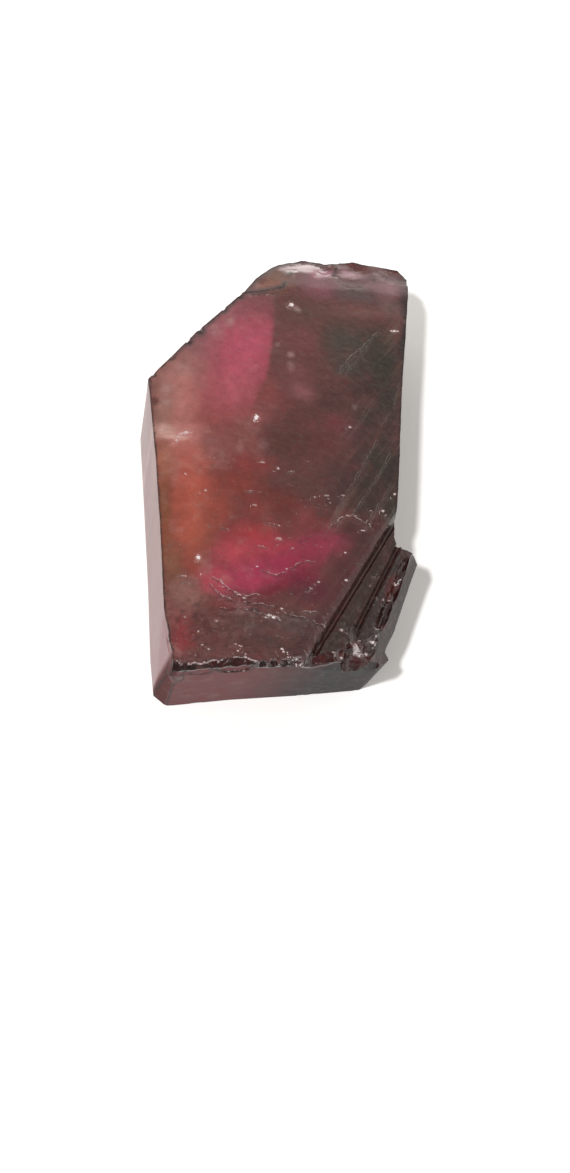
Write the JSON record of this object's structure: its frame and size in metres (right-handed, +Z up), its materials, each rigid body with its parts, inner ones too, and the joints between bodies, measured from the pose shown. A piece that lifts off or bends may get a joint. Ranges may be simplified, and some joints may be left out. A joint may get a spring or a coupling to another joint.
{
  "type": "rough bicolor tourmaline",
  "caption": "Stubby rough bicolor tourmaline crystal, pink and brown-green, lying on a flat face, with a flat top, a grooved stepped shoulder and chipped edges.",
  "frame": {"origin": "on the resting face, under the middle of the outline's box", "axes": "+Z up from the resting face to the flat top; +Y along the length, towards the fractured end; +X towards the stepped shoulder"},
  "size_m": [0.0192, 0.032, 0.0092],
  "materials": {
    "tourmaline": "smoky translucent gem rough in rose pink, orange red, magenta and dark brown-green, glossy on the smooth walls and finely etched on the top"
  },
  "bodies": {
    "root": {"crystal": "tourmaline"}
  },
  "joints": []
}
